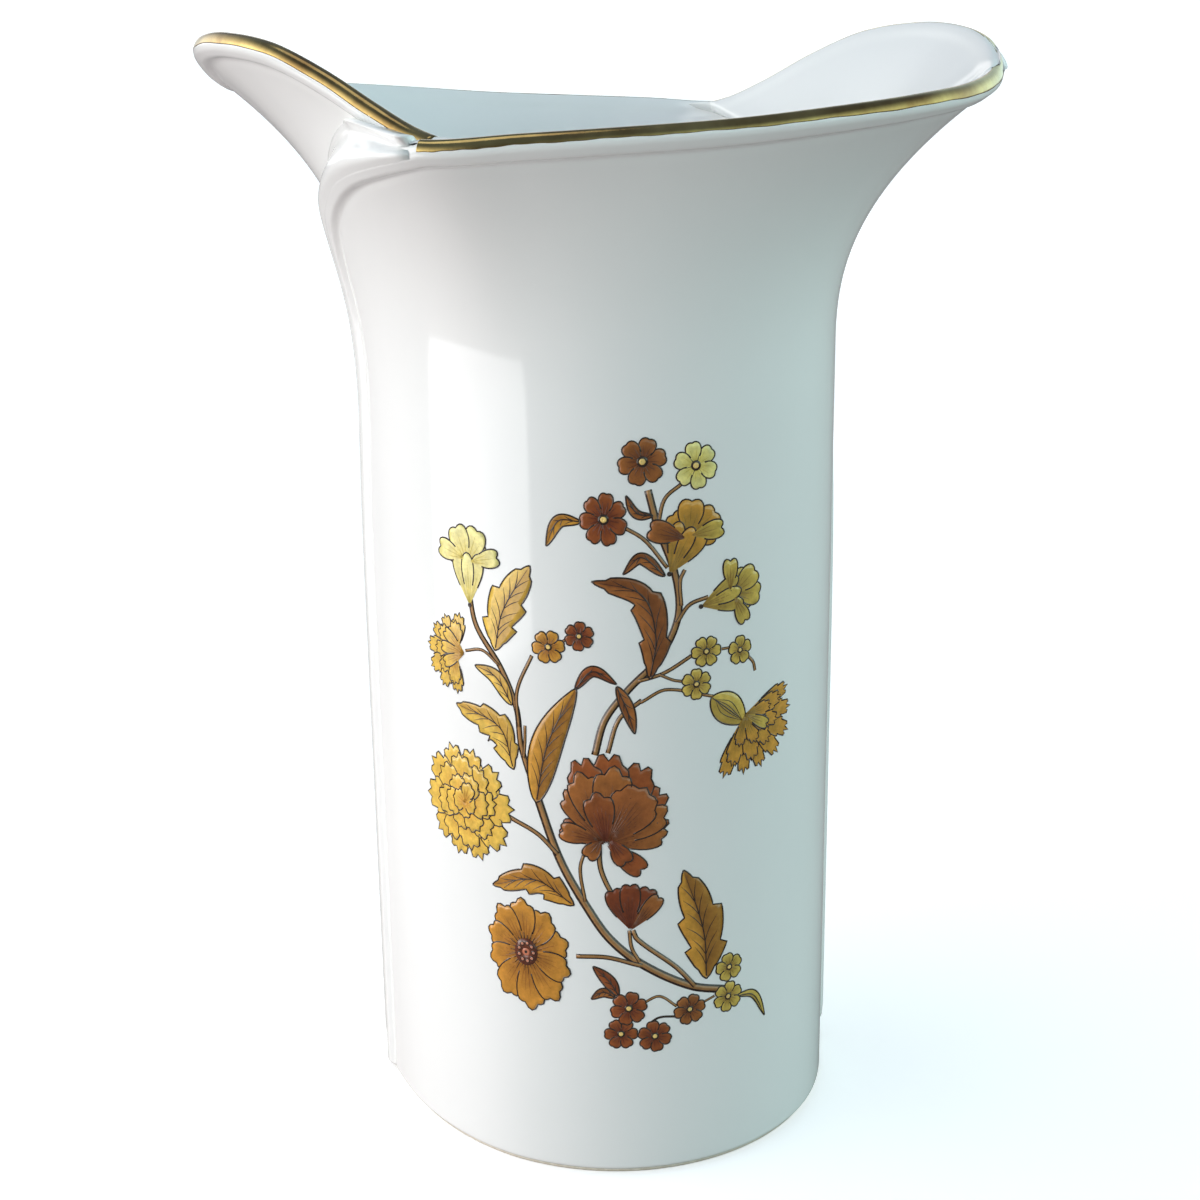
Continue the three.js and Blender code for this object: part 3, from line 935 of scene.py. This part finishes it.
def draw_carnation_right(motif):
    lay_carnation(motif, (25.6, 86.2), -48, 11.2, (OLIVE[0], OCHRE[1]), fan=128, rings=3)
    lay_petal(motif, (25.4, 86.4), -30, 6.4, 16, OLIVE, lobes=2)


def draw_calyx(motif):
    lay_leaf(motif, [(18.9, 90.6), (21.6, 88.4), (25.8, 84.8)], 2.9, OLIVE, veins=0, one_side=0.9)
    for off in (-0.9, -0.3, 0.4, 1.0):
        lay_line(motif, curve_through([(19.6, 90.1), (21.8 + off, 88.2 + off * 0.9), (25.2, 85.2)], 10), 0.16,
                 LINE_DARK, taper=(0.3, 0.3), rise=0.3)


def draw_peony(motif):
    base = (0.4, 65.2)
    back = ((24, 11.4, 22), (44, 13.6, 22), (66, 15.8, 20), (88, 16.6, 20), (106, 16.2, 18))
    middle = ((10, 10.4, 22), (32, 12.0, 24), (126, 11.8, 20), (110, 13.8, 20), (84, 14.2, 22))
    for aim, length in ((158, 8.6), (-40, 8.4)):
        lay_petal(motif, base, aim, length, 22, RUST, lobes=2, veins=4)
    for aim, length, spread in back:
        lay_petal(motif, base, aim, length, spread, RUST, lobes=4, ruffle=0.045, veins=5)
    for aim, length, spread in middle:
        lay_petal(motif, base, aim, length, spread, BROWN, lobes=3, ruffle=0.05, veins=5)
    lay_petal(motif, base, 56, 12.2, 34, (BROWN[0], linear(160, 94, 46)), lobes=5, ruffle=0.04, veins=9)
    lay_petal(motif, base, 100, 9.6, 26, (RUST[0], linear(140, 78, 36)), lobes=3, ruffle=0.05, veins=6)
    lay_petal(motif, (-0.6, 66.0), 168, 7.4, 24, BROWN, lobes=2, veins=4)
    lay_petal(motif, (1.0, 66.2), -58, 5.6, 30, RUST, lobes=2, veins=4)
    lay_petal(motif, (-0.4, 66.0), -128, 4.4, 34, BROWN, lobes=2, veins=3)


def draw_cosmos(motif):
    centre = (-14.6, 43.2)
    for k, length in enumerate((10.2, 10.4, 10.6, 10.2, 9.6, 9.8, 11.4, 11.6, 10.8, 10.0)):
        lay_petal(motif, centre, 20 + 36 * k, length * 0.97, 27, (OCHRE[0], linear(204, 142, 54)),
                  lobes=3, ruffle=0.045, veins=5, flat=0.84, lean=20.0, bright=0.42)
    for k in range(26):
        aim = math.radians(360.0 * k / 26)
        way = np.array([math.cos(aim) * 0.84, math.sin(aim)])
        near = np.array(centre) + way * 1.6
        far = np.array(centre) + way * (3.3 + 0.5 * (k % 3))
        lay_line(motif, [near, far], 0.2, LINE_DARK, taper=(1, 0.4), rise=0.1)
    lay_spot(motif, centre, 2.3, linear(96, 48, 30), squash=1.15)
    for k in range(9):
        aim = 2 * math.pi * k / 9
        place = (centre[0] + 1.45 * math.cos(aim), centre[1] + 1.75 * math.sin(aim))
        lay_spot(motif, place, 0.46, LINE_DARK, rise=0.2)
        lay_spot(motif, place, 0.28, linear(196, 130, 104), rise=0.2)
    lay_spot(motif, centre, 0.75, linear(186, 112, 84), rise=0.3)
    lay_spot(motif, centre, 0.3, LINE_DARK, rise=0.3)


def draw_bud(motif):
    base = (4.4, 48.8)
    inks = (RUST[0], linear(128, 62, 30))
    for aim, length, spread in ((112, 8.6, 20), (66, 8.8, 20), (90, 9.0, 19)):
        lay_petal(motif, base, aim, length, spread, inks, lobes=2, ruffle=0.04, veins=4)
    lay_petal(motif, base, 50, 8.2, 17, BROWN, lobes=2, ruffle=0.04, veins=4)


def draw_bottom_curl(motif):
    lay_leaf(motif, [(24.4, 32.6), (28.2, 31.6), (31.2, 26.4)], 0.9, OLIVE, veins=0, one_side=0.6)


BLOOMS = {
    "bloom_top_brown": round_bloom((6.9, 132.6), 4.1, BROWN, 6, 12),
    "bloom_top_pale": round_bloom((15.9, 131.4), 3.9, PALE, 6, 40, 1.05),
    "bloom_middle_brown": round_bloom((0.5, 123.0), 4.0, RUST, 7, 30, 1.15),
    "trumpet_top": draw_trumpet_top,
    "trumpet_right": draw_trumpet_right,
    "trumpet_left": draw_trumpet_left,
    "carnation_left": draw_carnation_left,
    "carnation_big": draw_carnation_big,
    "carnation_right": draw_carnation_right,
    "carnation_calyx": draw_calyx,
    "peony": draw_peony,
    "cosmos": draw_cosmos,
    "bud_centre": draw_bud,
    "small_bloom_left": round_bloom((-9.2, 100.6), 3.0, OCHRE, 6, 8),
    "small_bloom_centre": round_bloom((-3.8, 102.8), 2.6, RUST, 6, 25),
    "small_bloom_right": round_bloom((17.9, 99.0), 2.8, OLIVE, 6, 0),
    "small_bloom_far": round_bloom((24.5, 98.2), 2.4, OLIVE, 5, 18, 1.1),
    "cluster_bloom_1": round_bloom((4.0, 33.6), 3.3, RUST, 6, 15),
    "cluster_bloom_2": round_bloom((2.6, 28.6), 3.0, RUST, 6, 0),
    "cluster_bloom_3": round_bloom((8.6, 27.8), 3.1, RUST, 6, 40),
    "cluster_bloom_4": round_bloom((15.0, 32.2), 3.0, BROWN, 6, 10),
    "cluster_bloom_5": round_bloom((22.8, 38.8), 2.8, OLIVE, 5, 30),
    "small_bloom_low": round_bloom((16.1, 93.4), 2.8, OLIVE, 6, 30),
    "cluster_bloom_6": round_bloom((22.6, 33.0), 3.0, OLIVE, 6, 20),
    "bottom_curl": draw_bottom_curl,
}
# Leaves: the midrib from base to tip, half width, inks, teeth, and the other half's width against it.
LEAVES = {
    "leaf_centre": ([(8.0, 95.0), (9.0, 102.6), (6.6, 110.0), (-1.6, 112.4)], 2.7, BROWN, 3, 0.9),
    "leaf_left": ([(-19.4, 98.8), (-17.6, 106.0), (-12.2, 114.6)], 3.4, GOLD, 3, 1.0),
    "leaf_low_left": ([(-16.2, 77.6), (-19.0, 85.0), (-29.0, 87.4)], 3.3, GOLD, 4, 0.7),
    "leaf_long": ([(-12.0, 72.0), (-9.6, 83.2), (-4.4, 93.6)], 3.0, (BROWN[0], OCHRE[1]), 0, 0.9),
    "leaf_arrow": ([(-5.4, 53.4), (-12.4, 57.4), (-21.4, 54.8)], 2.6, OCHRE, 3, 1.0),
    "leaf_right": ([(18.2, 37.6), (17.6, 47.0), (13.8, 59.4)], 3.7, (BROWN[0], OCHRE[1]), 3, 1.1),
    "leaf_arch": ([(-4.6, 93.4), (-1.6, 96.6), (2.4, 94.4)], 1.0, RUST, 0, 0.9),
    "leaf_drop": ([(2.4, 94.0), (4.0, 90.0), (5.4, 85.4)], 1.3, BROWN, 0, 0.7),
    "leaf_under_bloom": ([(-3.2, 122.6), (-7.0, 122.6), (-9.2, 118.2)], 1.2, OCHRE, 0, 0.8),
    "leaf_top": ([(8.6, 123.4), (6.0, 124.0), (4.2, 127.0)], 0.9, BROWN, 0, 0.6),
    "leaf_middle": ([(10.6, 113.0), (6.6, 116.4), (3.6, 113.6)], 1.2, BROWN, 0, 0.7),
    "leaf_side": ([(-16.2, 89.4), (-19.4, 94.0), (-24.0, 95.4)], 1.5, GOLD, 0, 0.9),
    "leaf_twin_up": ([(2.2, 36.2), (0.6, 39.0), (-2.2, 41.8)], 1.2, RUST, 0, 0.9),
    "leaf_twin_low": ([(1.6, 35.8), (-0.4, 36.8), (-2.6, 35.4)], 0.9, BROWN, 0, 0.9),
}
# Stems: each line's places and width.
STEMS = {
    "stem_main": [
        ([(22.0, 34.6), (15.2, 36.8), (6.0, 42.4), (0.8, 47.2), (-2.8, 52.6), (-7.8, 61.8),
          (-12.0, 73.8)], 1.6),
        ([(-5.2, 43.6), (0.4, 43.6), (6.4, 41.8)], 0.9),
        ([(-8.2, 62.8), (-11.8, 66.2), (-17.4, 68.6)], 0.9),
        ([(16.0, 36.6), (12.4, 41.0), (5.6, 47.0), (4.8, 48.8)], 0.95),
        ([(6.0, 42.6), (4.6, 45.4), (4.2, 48.8)], 0.7)],
    "stem_left": [
        ([(-12.0, 73.8), (-14.6, 82.0), (-15.4, 89.0), (-18.4, 96.0), (-23.4, 102.6), (-24.8, 108.0)], 1.15),
        ([(-18.6, 96.2), (-22.2, 98.4), (-26.2, 97.6)], 0.6),
        ([(-15.0, 85.6), (-15.2, 92.0), (-12.2, 98.8)], 0.7),
        ([(-14.2, 80.0), (-13.9, 82.8), (-13.8, 86.0)], 0.6),
        ([(-7.0, 101.6), (-5.8, 102.2)], 0.5)],
    "stem_right": [
        ([(-1.4, 81.6), (0.4, 88.0), (4.4, 93.4), (9.6, 98.8), (12.8, 105.6), (12.4, 112.8), (9.4, 121.6),
          (7.8, 127.8)], 1.3),
        ([(0.8, 82.0), (2.8, 88.2), (6.6, 91.4)], 0.85),
        ([(9.4, 121.4), (10.6, 126.2), (13.6, 128.6)], 0.7),
        ([(11.0, 114.4), (7.2, 119.4), (3.6, 121.8)], 0.7),
        ([(13.4, 107.6), (13.2, 112.0), (14.0, 113.8)], 0.7),
        ([(12.6, 104.6), (14.8, 107.6), (18.2, 108.6)], 0.75),
        ([(6.0, 94.8), (10.4, 96.0), (15.2, 98.6)], 0.7),
        ([(9.6, 95.8), (12.0, 94.6), (13.6, 94.2)], 0.55),
        ([(20.8, 99.0), (22.2, 99.0)], 0.5),
        ([(26.4, 96.6), (27.4, 95.4), (27.8, 93.8)], 0.6),
        ([(6.4, 91.0), (10.8, 93.0), (19.2, 90.8)], 0.6)],
    "stem_peony": [
        ([(-0.9, 66.0), (-0.5, 60.0), (3.0, 52.4)], 0.95),
        ([(-2.8, 65.0), (-4.2, 60.6), (-3.4, 54.2)], 0.65)],
    "stem_cluster": [
        ([(6.4, 34.4), (9.4, 35.6), (12.6, 33.2)], 0.55),
        ([(7.4, 30.2), (9.4, 31.4), (12.6, 31.2)], 0.45),
        ([(17.4, 33.0), (19.8, 33.8)], 0.5)],
}


def finish_motif(name, motif):
    """Turns a motif into a piece, in place of the CAD node of its name if there is one."""
    points = np.concatenate(motif["points"])
    piece = make_object("print_" + name, points, motif["faces"], INK)
    piece.data.polygons.foreach_set("use_smooth", motif["smooth"])
    colour = piece.data.color_attributes.new("ink", "FLOAT_COLOR", "POINT")
    ink = np.column_stack([np.concatenate(motif["ink"]), np.ones(len(points))])
    colour.data.foreach_set("color", ink.astype(np.float32).ravel())
    if name in CAD_SLOTS:
        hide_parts(name)


def add_print():
    """Every motif of the print as a piece of its own: stems, then leaves, then blooms."""
    leaves_above_stems = 0.015
    blooms_above_stems = 0.03
    for name, lines in STEMS.items():
        motif = new_motif()
        for places, width in lines:
            lay_stem(motif, places, width)
        finish_motif(name, motif)
    for name, (places, half_width, inks, teeth, other) in LEAVES.items():
        motif = new_motif()
        motif["lift"] += leaves_above_stems
        veins = 6 if half_width > 2.2 else 3
        lay_leaf(motif, places, half_width, inks, teeth, veins=veins, one_side=other)
        finish_motif(name, motif)
    for name, draw in BLOOMS.items():
        motif = new_motif()
        motif["lift"] += blooms_above_stems
        draw(motif)
        finish_motif(name, motif)


add_camera()
add_floor()
add_lights()
add_world()
bpy.context.scene.view_settings.view_transform = "Standard"

GLAZE = glaze_material()
BISCUIT = biscuit_material()
GILT = gilt_material()
INK = ink_material()

add_leaves(GLAZE)
add_seam(GLAZE)
add_floor_disc(GLAZE)
add_foot(BISCUIT)
add_gilding(GILT)
add_print()
